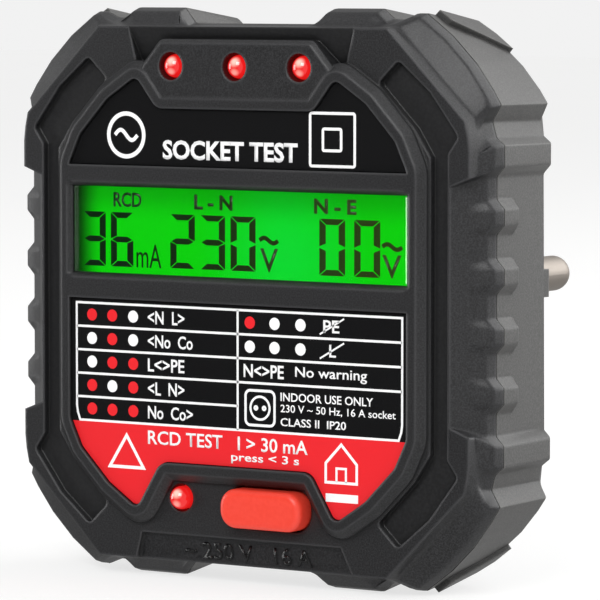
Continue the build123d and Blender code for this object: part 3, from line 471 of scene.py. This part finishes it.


# ---- Display stack ----
# Behind the window lies a twisted-nematic cell, lit from behind by a milky acrylic guide.
# The lit cell glows green, strongest low in the middle, with painted shadow of the window's rim darkening
# its left edge and its top.
def display_glow(left, foot, top, y):
    """Backlit green of the cell at a depth, with painted shadow of the window's rim along its left edge
    and top, placed from the edges of the window in front of it.
    """
    painted_shadow_width, painted_shade_height, pool_reach = 4.2 * mm, 4.5 * mm, 14 * mm
    material, tree, output = new_material("backlit_display_cell")
    coords = add(tree, "ShaderNodeTexCoord")
    place = add(tree, "ShaderNodeSeparateXYZ", None, {"Vector": coords.outputs["Object"]})
    # painted shadow of the window's left rim: the glow falls almost to nothing at the cell's left edge
    side = add(tree, "ShaderNodeMapRange", {"interpolation_type": "SMOOTHSTEP"}, {
        "Value": place.outputs["X"], "From Min": left, "From Max": left + painted_shadow_width,
        "To Min": 0.04, "To Max": 1.0,
    })
    # painted shade under the top rim: the glow drops towards the top of the cell
    painted_rim_shade = add(tree, "ShaderNodeMapRange", {"interpolation_type": "SMOOTHSTEP"}, {
        "Value": place.outputs["Z"], "From Min": top - painted_shade_height, "From Max": top,
        "To Min": 1.0, "To Max": 0.62,
    })
    hot = add(tree, "ShaderNodeVectorMath", {"operation": "DISTANCE"}, {
        0: coords.outputs["Object"], 1: (7 * mm, y, foot + 3 * mm),
    })
    pool = add(tree, "ShaderNodeMapRange", {"interpolation_type": "SMOOTHSTEP"}, {
        "Value": hot.outputs["Value"], "From Min": 0.0, "From Max": pool_reach,
        "To Min": 1.0, "To Max": 0.0,
    })
    tint = add(tree, "ShaderNodeMix", {"data_type": "RGBA"}, {
        "Factor": pool.outputs["Result"], "A": srgb("#04d404"), "B": srgb("#06de30"),
    })
    level = add(tree, "ShaderNodeMath", {"operation": "MULTIPLY"}, {
        0: side.outputs["Result"], 1: painted_rim_shade.outputs["Result"],
    })
    shader = add(tree, "ShaderNodeBsdfPrincipled", None, {
        "Base Color": srgb("#062a08"), "Roughness": 0.25,
        "Emission Color": tint.outputs["Result"], "Emission Strength": level.outputs["Value"],
    })
    tree.links.new(shader.outputs["BSDF"], output.inputs["Surface"])
    return material


cell_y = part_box("lcd_cell")[0].y
window_low, window_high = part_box("lcd_window")
finish_node("lcd_cell", display_glow(window_low.x, window_low.z, window_high.z, cell_y))
finish_node("lcd_light_guide", moulded("milky_acrylic", "#dfe8dd", "#e9f0e7", 0.3, 0.5 * mm, 0.05))
finish_node("lcd_frame", white_abs)

# silicone rubber in dark conducting and pale insulating layers, which show as fine stripes
rubber_layer_pitch = 0.36 * mm
rubber, tree, output = new_material("layered_contact_rubber")
coords = add(tree, "ShaderNodeTexCoord")
layers = add(tree, "ShaderNodeTexWave", {"bands_direction": "X"}, {
    "Vector": coords.outputs["Object"], "Scale": 2 * math.pi / (20 * rubber_layer_pitch),
})
shader = add(tree, "ShaderNodeBsdfPrincipled", None, {"Roughness": 0.7})
bands = add(tree, "ShaderNodeValToRGB", None, {"Fac": layers.outputs["Fac"]})
bands.color_ramp.elements[0].color = srgb("#2b2f33")
bands.color_ramp.elements[1].color = srgb("#b9bfc2")
tree.links.new(bands.outputs["Color"], shader.inputs["Base Color"])
tree.links.new(shader.outputs["BSDF"], output.inputs["Surface"])
finish_node("elastomer_strips", rubber)


# ---- Display segments ----
# Seven-segment digits with slanted ends, unit marks and headings, etched as electrodes inside the
# glass: they show dark where the cell blocks the light from behind.
def sheet_piece(name, bm, thickness, material):
    """Thin printed piece: flat faces that face the front, given a thickness towards the back."""
    for face in bm.faces:
        if face.normal.y > 0:
            face.normal_flip()
    flat = new_object(name + "_flat", bm, material)
    solid = flat.modifiers.new("thickness", "SOLIDIFY")
    solid.thickness = thickness
    solid.offset = -1.0
    piece = placed(name, plain_mesh(flat))
    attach(piece, "case")
    return piece


def polygon(bm, points, y):
    """Flat polygon at a depth, from points in millimetres across and up."""
    bm.faces.new([bm.verts.new((x * mm, y, z * mm)) for x, z in points])
    bm.normal_update()


bars_lit = {"0": "abcdef", "2": "abged", "3": "abgcd", "6": "afgedc"}


def digit(bm, character, left, bottom, width, height, y):
    """One digit; its bars are mitred against each other with a hair gap, all in millimetres."""
    across, up, gap = 0.95, 0.74, 0.09
    middle, inner, roof = height / 2, width - across, height - up
    over, under = middle + up / 2, middle - up / 2
    bars = {
        "a": [(gap, height), (width - gap, height), (inner - gap, roof), (across + gap, roof)],
        "b": [(width, height - gap), (inner, roof - gap), (inner, over + gap), (width, middle + gap)],
        "c": [(width, gap), (inner, up + gap), (inner, under - gap), (width, middle - gap)],
        "d": [(gap, 0), (width - gap, 0), (inner - gap, up), (across + gap, up)],
        "e": [(0, gap), (across, up + gap), (across, under - gap), (0, middle - gap)],
        "f": [(0, height - gap), (across, roof - gap), (across, over + gap), (0, middle + gap)],
        "g": [(2 * gap, middle), (across, over), (inner, over),
              (width - 2 * gap, middle), (inner, under), (across, under)],
    }
    for bar in bars_lit[character]:
        polygon(bm, [(left + x, bottom + z) for x, z in bars[bar]], y)


def lettering(bm, text, left, right, bottom, top, y, weight=0.0, tilt=None):
    """Text whose ink fills a box in millimetres across and up, at a depth or where tilt puts it.
    weight thickens the strokes."""
    font = bpy.data.curves.new("lettering", "FONT")
    font.body = text
    font.offset = weight
    font.resolution_u = 3
    holder = bpy.data.objects.new("lettering", font)
    bpy.context.scene.collection.objects.link(holder)
    mesh = plain_mesh(holder)
    xs = [v.co.x for v in mesh.vertices]
    ys = [v.co.y for v in mesh.vertices]
    wide = (right - left) * mm / (max(xs) - min(xs))
    tall = (top - bottom) * mm / (max(ys) - min(ys))
    start = len(bm.verts)
    bm.from_mesh(mesh)
    bm.verts.ensure_lookup_table()
    for vert in bm.verts[start:]:
        x = left * mm + (vert.co.x - min(xs)) * wide
        z = bottom * mm + (vert.co.y - min(ys)) * tall
        vert.co = (x, y, z) if tilt is None else tilt(x, z)
    bpy.data.meshes.remove(mesh)
    bmesh.ops.remove_doubles(bm, verts=bm.verts, dist=1e-7)
    bm.normal_update()


def wave(bm, left, right, bottom, top, weight, y):
    """Wavy stroke for alternating current."""
    steps = 16
    path = []
    for step in range(steps + 1):
        share = step / steps
        x = left + (right - left) * share
        z = (bottom + top) / 2 + (top - bottom - weight) / 2 * math.sin(2 * math.pi * share)
        path.append((x, z))
    ribbon(bm, path, weight, y)


def ribbon(bm, path, weight, y, closed=False):
    """Stroke of even width along a path in millimetres, mitred at its corners."""
    points = [Vector(p) for p in path]
    count = len(points)
    edges = []
    for index, point in enumerate(points):
        before = points[index - 1] if closed or index else None
        after = points[(index + 1) % count] if closed or index + 1 < count else None
        come = (point - before).normalized() if before is not None else (after - point).normalized()
        go = (after - point).normalized() if after is not None else come
        normal = Vector((-come.y - go.y, come.x + go.x)).normalized()
        reach = weight / 2 / max(0.3, normal.dot(Vector((-go.y, go.x))))
        edges.append((point + normal * reach, point - normal * reach))
    rows = [[bm.verts.new((p.x * mm, y, p.y * mm)) for p in pair] for pair in edges]
    pairs = list(zip(rows, rows[1:] + (rows[:1] if closed else [])))
    for (a, b), (c, d) in pairs:
        bm.faces.new((a, b, d, c))
    bm.normal_update()


# the crystal lets a little more of the light through towards the right-hand end
ink, tree, output = new_material("darkened_liquid_crystal")
coords = add(tree, "ShaderNodeTexCoord")
place = add(tree, "ShaderNodeSeparateXYZ", None, {"Vector": coords.outputs["Object"]})
leak = add(tree, "ShaderNodeMapRange", {"interpolation_type": "SMOOTHSTEP"}, {
    "Value": place.outputs["X"], "From Min": -20 * mm, "From Max": 22 * mm,
})
tone = add(tree, "ShaderNodeMix", {"data_type": "RGBA"}, {
    "Factor": leak.outputs["Result"], "A": srgb("#051c08"), "B": srgb("#27380f"),
})
shader = add(tree, "ShaderNodeBsdfPrincipled", None, {
    "Base Color": srgb("#05100a"), "Roughness": 0.3,
    "Emission Color": tone.outputs["Result"], "Emission Strength": 1.0,
})
tree.links.new(shader.outputs["BSDF"], output.inputs["Surface"])

segment_y = (window_high.y + cell_y) / 2
segments = bmesh.new()
for text, left, bottom, width, pitch, height in (
    ("36", -24.28, 3.3, 3.53, 4.35, 7.0),
    ("230", -10.6, 3.4, 3.8, 4.65, 6.9),
    ("00", 12.1, 3.3, 3.83, 5.17, 7.1),
):
    for index, character in enumerate(text):
        digit(segments, character, left + index * pitch, bottom, width, height, segment_y)
lettering(segments, "mA", -15.9, -12.0, 3.3, 6.3, segment_y)
lettering(segments, "V", 3.2, 5.9, 3.4, 6.4, segment_y, 0.01)
lettering(segments, "V", 21.4, 24.2, 3.3, 6.2, segment_y, 0.01)
wave(segments, 3.1, 5.9, 6.8, 8.0, 0.55, segment_y)
wave(segments, 21.4, 24.3, 6.6, 7.8, 0.55, segment_y)
lettering(segments, "RCD", -19.5, -15.1, 11.0, 12.9, segment_y, 0.022)
lettering(segments, "L - N", -6.9, -1.0, 11.0, 12.9, segment_y, 0.035)
lettering(segments, "N - E", 11.3, 17.6, 11.0, 12.9, segment_y, 0.035)
film_thickness = 0.02 * mm
sheet_piece("display_segments", segments, film_thickness, ink)


# ---- Display window ----
# A flat pane of clear acrylic, polished on both faces and set into the front a little below the rim.
# It is almost free of haze, so the display behind it stays crisp.
acrylic, tree, output = new_material("clear_polished_acrylic")
coords = add(tree, "ShaderNodeTexCoord")
haze = add(tree, "ShaderNodeTexNoise", None, {
    "Vector": coords.outputs["Object"], "Scale": 1 / (12.5 * mm),
})
shine = add(tree, "ShaderNodeMapRange", None, {
    "Value": haze.outputs["Fac"], "To Min": 0.02, "To Max": 0.05,
})
shader = add(tree, "ShaderNodeBsdfPrincipled", None, {
    "Base Color": srgb("#ffffff"), "Transmission Weight": 1.0, "IOR": 1.49,
    "Roughness": shine.outputs["Result"],
})
tree.links.new(shader.outputs["BSDF"], output.inputs["Surface"])
finish_node("lcd_window", acrylic)


# ---- Signal lamps ----
# Four 3 mm lamps cast in red epoxy, pushed into holes of the front from behind and all shown lit.
# The smooth lens glows red all over, with a pale painted highlight above the die and a weaker one below.
def lit_lens(tip):
    """Red lens lit by the die behind its tip, with a pale painted highlight above the tip and a weaker one
    below.
    """
    material, tree, output = new_material("red_epoxy_lens_lit")
    coords = add(tree, "ShaderNodeTexCoord")
    painted_highlight_pools = []
    core = 0.15 * mm
    for up, reach, strength in ((0.6 * mm, 0.9 * mm, 1.0), (-0.62 * mm, 0.7 * mm, 0.5)):
        distance = add(tree, "ShaderNodeVectorMath", {"operation": "DISTANCE"}, {
            0: coords.outputs["Object"], 1: (tip[0] + 0.1 * mm, tip[1] + 0.3 * mm, tip[2] + up),
        })
        painted_highlight_pools.append(add(tree, "ShaderNodeMapRange", {"interpolation_type": "SMOOTHSTEP"}, {
            "Value": distance.outputs["Value"], "From Min": core, "From Max": reach,
            "To Min": strength, "To Max": 0.0,
        }))
    # painted highlight: the stronger of the two pools turns the red glow towards near white
    pale = add(tree, "ShaderNodeMath", {"operation": "MAXIMUM"}, {
        0: painted_highlight_pools[0].outputs["Result"], 1: painted_highlight_pools[1].outputs["Result"],
    })
    tint = add(tree, "ShaderNodeMix", {"data_type": "RGBA"}, {
        "Factor": pale.outputs["Value"], "A": srgb("#e01917"), "B": srgb("#ffdccb"),
    })
    shader = add(tree, "ShaderNodeBsdfPrincipled", None, {
        "Base Color": srgb("#7d0d12"), "Roughness": 0.08, "Coat Weight": 1.0, "Coat Roughness": 0.03,
        "Emission Color": tint.outputs["Result"], "Emission Strength": 1.0,
    })
    tree.links.new(shader.outputs["BSDF"], output.inputs["Surface"])
    return material


for lamp in ("led_left", "led_centre", "led_right", "led_test"):
    low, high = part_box(lamp)
    finish_node(lamp, lit_lens(((low.x + high.x) / 2, low.y, (low.z + high.z) / 2)))


# ---- Test button and its switch ----
# The button is moulded in coral-red ABS with a soft sheen and slides in its hole in the front.
# Its white plunger is part of the push switch behind it.
finish_node("test_button", moulded("coral_red_abs", "#f8422f", "#fb4836", 0.36, 0.5 * mm, 0.03))
finish_node("switch_plunger", white_abs)


# ---- Labels ----
# Two smooth polyester films, screen-printed and stuck into the rims of the front. Their black is the
# ground for the red and the white, which are thin pieces of print that stand a hair proud of it.
def film(name, colour, roughness):
    """Smooth printed film: a glossy black or colour, with the faintest orange peel and soft smears."""
    material, tree, output = new_material(name)
    coords = add(tree, "ShaderNodeTexCoord")
    peel = add(tree, "ShaderNodeTexNoise", None, {
        "Vector": coords.outputs["Object"], "Scale": 1 / (0.667 * mm), "Detail": 1.0,
    })
    smear = add(tree, "ShaderNodeTexNoise", None, {
        "Vector": coords.outputs["Object"], "Scale": 1 / (25 * mm), "Detail": 3.0,
    })
    shine = add(tree, "ShaderNodeMapRange", None, {
        "Value": smear.outputs["Fac"], "To Min": roughness - 0.05, "To Max": roughness + 0.06,
    })
    relief = add(tree, "ShaderNodeBump", None, {
        "Strength": 0.03, "Distance": 0.01 * mm, "Height": peel.outputs["Fac"],
    })
    shader = add(tree, "ShaderNodeBsdfPrincipled", None, {
        "Base Color": srgb(colour), "Roughness": shine.outputs["Result"],
        "Normal": relief.outputs["Normal"],
    })
    tree.links.new(shader.outputs["BSDF"], output.inputs["Surface"])
    return material


black_film = film("black_printed_polyester", "#151516", 0.25)
white_print = film("white_screen_print", "#ffffff", 0.35)
red_print = film("red_screen_print", "#f22029", 0.3)
finish_node("upper_label", black_film)
finish_node("lower_label", black_film)
print_y = label_y - film_thickness


# ---- Red field ----
# The foot of the lower label is printed red, up to the foot of the fault table. Its outline is that
# of the label itself, cut off level at its top.
table_foot = -16.7
red_top, red_thickness = (table_foot - 0.15) * mm, 0.015 * mm
red_field = bmesh.new()
red_field.from_mesh(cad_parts["lower_label"].data)
bmesh.ops.remove_doubles(red_field, verts=red_field.verts, dist=1e-6)
back = [face for face in red_field.faces if face.normal.y > -0.9]
bmesh.ops.delete(red_field, geom=back, context="FACES")
bmesh.ops.bisect_plane(
    red_field, geom=red_field.verts[:] + red_field.edges[:] + red_field.faces[:],
    plane_co=(0, 0, red_top), plane_no=(0, 0, 1), clear_outer=True,
)
for vert in red_field.verts:
    vert.co.y = print_y
sheet_piece("red_field", red_field, red_thickness, red_print)


# ---- Lines of the fault table ----
# A frame with cut corners, the lines between five rows and an upright divider, all printed in white
# and of one width. Heights and widths are in millimetres.
table_top, table_side = -1.47, 24.84
row_height = (table_top - table_foot) / 5
line, divider_x = 0.3, 0.3
lines = bmesh.new()
right_side = [
    (table_side, table_top), (table_side, table_foot + 1.9),
    (table_side - 0.13, table_foot + 1.0), (table_side - 0.5, table_foot),
]
ribbon(lines, right_side + [(-x, z) for x, z in reversed(right_side)], line, print_y, closed=True)
for row in range(1, 5):
    level = table_top - row * row_height
    stop = table_side if row < 4 else divider_x
    ribbon(lines, [(-table_side, level), (stop, level)], line, print_y)
ribbon(lines, [(divider_x, table_top), (divider_x, table_foot)], line, print_y)
sheet_piece("table_lines", lines, film_thickness, white_print)


# ---- Dots of the fault table ----
# Each code is a row of three printed dots that stand for the three lamps: red for lit, white for dark.
# Geometry nodes put one small disc at each of their places.
def row_middle(row):
    """Height of the middle of a row of the fault table, in millimetres."""
    return table_top - (row + 0.5) * row_height


def dot_tree(material):
    """Node tree that puts a flat disc of a given radius on every point of a mesh."""
    tree = bpy.data.node_groups.new("printed_dots", "GeometryNodeTree")
    tree.interface.new_socket("Geometry", in_out="INPUT", socket_type="NodeSocketGeometry")
    tree.interface.new_socket("Radius", in_out="INPUT", socket_type="NodeSocketFloat")
    tree.interface.new_socket("Geometry", in_out="OUTPUT", socket_type="NodeSocketGeometry")
    start = add(tree, "NodeGroupInput")
    disc = add(tree, "GeometryNodeMeshCircle", {"fill_type": "NGON"}, {
        "Vertices": 32, "Radius": start.outputs["Radius"],
    })
    turned = add(tree, "GeometryNodeTransform", None, {
        "Geometry": disc.outputs["Mesh"], "Rotation": (math.pi / 2, 0, 0),
    })
    points = add(tree, "GeometryNodeMeshToPoints", None, {"Mesh": start.outputs["Geometry"]})
    dots = add(tree, "GeometryNodeInstanceOnPoints", None, {
        "Points": points.outputs["Points"], "Instance": turned.outputs["Geometry"],
    })
    real = add(tree, "GeometryNodeRealizeInstances", None, {"Geometry": dots.outputs["Instances"]})
    coloured = add(tree, "GeometryNodeSetMaterial", None, {
        "Geometry": real.outputs["Geometry"], "Material": material,
    })
    add(tree, "NodeGroupOutput", None, {"Geometry": coloured.outputs["Geometry"]})
    return tree


def dots(name, places, radius, y, material):
    """Printed dots at places in millimetres, as one plain mesh."""
    bm = bmesh.new()
    for x, z in places:
        bm.verts.new((x * mm, y, z * mm))
    holder = new_object(name + "_points", bm)
    modifier = holder.modifiers.new("dots", "NODES")
    modifier.node_group = dot_tree(material)
    for item in modifier.node_group.interface.items_tree:
        if item.name == "Radius":
            modifier[item.identifier] = radius * mm
    mesh = plain_mesh(holder)
    bm = bmesh.new()
    bm.from_mesh(mesh)
    bpy.data.meshes.remove(mesh)
    return sheet_piece(name, bm, film_thickness, material)


left_columns = (-22.4, -19.2, -15.9)
right_columns = (2.15, 5.9, 9.8)
left_codes = ("RRW", "WRW", "WRR", "RWR", "RRR")
right_codes = ("RWW", "WWW")
lamps_shown = {"R": [], "W": []}
for columns, codes in ((left_columns, left_codes), (right_columns, right_codes)):
    for row, code in enumerate(codes):
        for x, colour in zip(columns, code):
            lamps_shown[colour].append((x, row_middle(row)))
dot_radius = 0.78
dots("red_dots", lamps_shown["R"], dot_radius, print_y, red_print)
dots("white_dots", lamps_shown["W"], dot_radius, print_y, white_print)


# ---- Wording of the fault table ----
# What each row of dots means, in the letters of the three conductors, and plain facts in the last
# cell, all printed in white. A missing conductor is struck out.
words = bmesh.new()
# row, wording, left and right end, half the height of the letters, thickening of their strokes
for row, text, left, right, half, weight in (
    (0, "<N  L>", -13.6, -7.9, 0.85, 0.018),
    (1, "<No  Co", -13.6, -6.6, 0.85, 0.018),
    (2, "L<>PE", -13.6, -7.9, 0.85, 0.018),
    (3, "<L  N>", -13.6, -7.9, 0.85, 0.018),
    (4, "No  Co>", -13.6, -6.6, 0.85, 0.018),
    (0, "PE", 13.2, 15.6, 0.8, 0.015),
    (1, "L", 14.1, 15.1, 0.8, 0.015),
    (2, "N<>PE", 1.2, 7.3, 0.85, 0.02),
    (2, "No warning", 9.0, 19.7, 0.85, 0.012),
):
    middle = row_middle(row)
    lettering(words, text, left, right, middle - half, middle + half, print_y, weight)
strike_width = 0.22
for row in (0, 1):
    strike = [(12.7, row_middle(row) - 1.0), (16.3, row_middle(row) + 1.05)]
    ribbon(words, strike, strike_width, print_y)
# fact, right end, foot and top of its letters, thickening of their strokes
facts_left = 6.8
for text, right, foot, top, weight in (
    ("INDOOR USE ONLY", 20.6, -12.7, -11.6, 0.015),
    ("230 V ~ 50 Hz, 16 A socket", 23.9, -14.25, -13.1, 0.01),
    ("CLASS II  IP20", 16.6, -15.85, -14.8, 0.015),
):
    lettering(words, text, facts_left, right, foot, top, print_y, weight)
sheet_piece("table_words", words, film_thickness, white_print)


# ---- Heading and signs ----
# White print on black: a sine in a ring, what the thing does and the double square of class II over
# the display, and beside the plain facts a small picture of a socket.
def rounded_square(middle, half, corner):
    """Outline of a square with round corners, about a middle point in millimetres."""
    steps = 5
    path = []
    for turn in range(4):
        for step in range(steps + 1):
            angle = math.radians(90 * turn + 90 * step / steps)
            side = (1, -1, -1, 1)[turn], (1, 1, -1, -1)[turn]
            path.append((
                middle[0] + side[0] * (half - corner) + corner * math.cos(angle),
                middle[1] + side[1] * (half - corner) + corner * math.sin(angle),
            ))
    return path


def ring(bm, middle, radius, weight, y):
    """Printed ring about a middle point in millimetres."""
    steps = 40
    path = [
        (middle[0] + radius * math.cos(2 * math.pi * step / steps),
         middle[1] + radius * math.sin(2 * math.pi * step / steps))
        for step in range(steps)
    ]
    ribbon(bm, path, weight, y, closed=True)


signs = bmesh.new()
# socket: rounded plate, round recess and two holes, as strokes of a width in millimetres
socket_sign, hole_offset = (3.7, -13.75), 0.62
ribbon(signs, rounded_square(socket_sign, 2.2, 0.7), 0.34, print_y, closed=True)
ring(signs, socket_sign, 1.45, 0.3, print_y)
for side in (-1, 1):
    ring(signs, (socket_sign[0] + side * hole_offset, socket_sign[1]), 0.2, 0.3, print_y)
# over the display
sine_sign = (-16.9, 20.3)
ring(signs, sine_sign, 2.75, 0.55, print_y)
wave(signs, sine_sign[0] - 1.75, sine_sign[0] + 1.75, 19.4, 21.2, 0.5, print_y)
lettering(signs, "SOCKET TEST", -11.2, 9.4, 17.3, 19.8, print_y, 0.032)
ribbon(signs, rounded_square((14.55, 20.3), 3.3, 0.25), 0.36, print_y, closed=True)
ribbon(signs, rounded_square((14.5, 20.3), 1.35, 0.2), 0.36, print_y, closed=True)
sheet_piece("heading_and_signs", signs, film_thickness, white_print)


# ---- Wording on the red field ----
# White print over the red: a plain triangle, two lines on the residual-current test, and a house
# with a bar under it, for use indoors.
on_red = bmesh.new()
red_y = print_y - red_thickness
triangle = [(-19.6, -22.45), (-14.3, -22.45), (-16.95, -18.35)]
ribbon(on_red, triangle, 0.42, red_y, closed=True)
lettering(on_red, "RCD TEST   I > 30 mA", -13.6, 10.9, -19.3, -17.5, red_y, 0.015)
lettering(on_red, "press < 3 s", -0.7, 9.6, -21.0, -19.6, red_y, 0.015)
house = [(13.6, -22.5), (18.2, -22.5), (18.2, -20.1), (15.9, -17.7), (13.6, -20.1)]
door = [(15.2, -22.4), (15.2, -20.7), (16.6, -20.7), (16.6, -22.4)]
bar = [(13.6, -24.95), (18.4, -24.95), (18.4, -23.9), (13.6, -23.9)]
ribbon(on_red, house, 0.36, red_y, closed=True)
ribbon(on_red, door, 0.3, red_y)
polygon(on_red, bar, red_y)
sheet_piece("wording_on_red", on_red, film_thickness, white_print)


# ---- Moulded rating ----
# Letters that stand on the sloping panel at the foot of the front, moulded with it in charcoal ABS.
# Their polished faces are darker and glossier than the grained panel round them.
panel_top, panel_foot = -30.8 * mm, -37.6 * mm
panel_step, panel_fall, letter_height = 1.25 * mm, 0.95 * mm, 0.1 * mm


def on_rating_panel(x, z):
    """Place of a letter's face on the sloping panel, which falls back from the labels towards its foot."""
    down = (panel_top - z) / (panel_top - panel_foot)
    return x, label_y + panel_step + panel_fall * down - letter_height, z


letter_gloss = moulded("abs_black_polished_letters", "#0a0a0b", "#0f0f10", 0.25, 0.4 * mm, 0.03)
rating = bmesh.new()
lettering(rating, "~ 250 V   16 A", -8.9, 10.6, -33.7, -31.5, 0, 0.01, on_rating_panel)
rating_thickness = 0.15 * mm
sheet_piece("moulded_rating", rating, rating_thickness, letter_gloss)
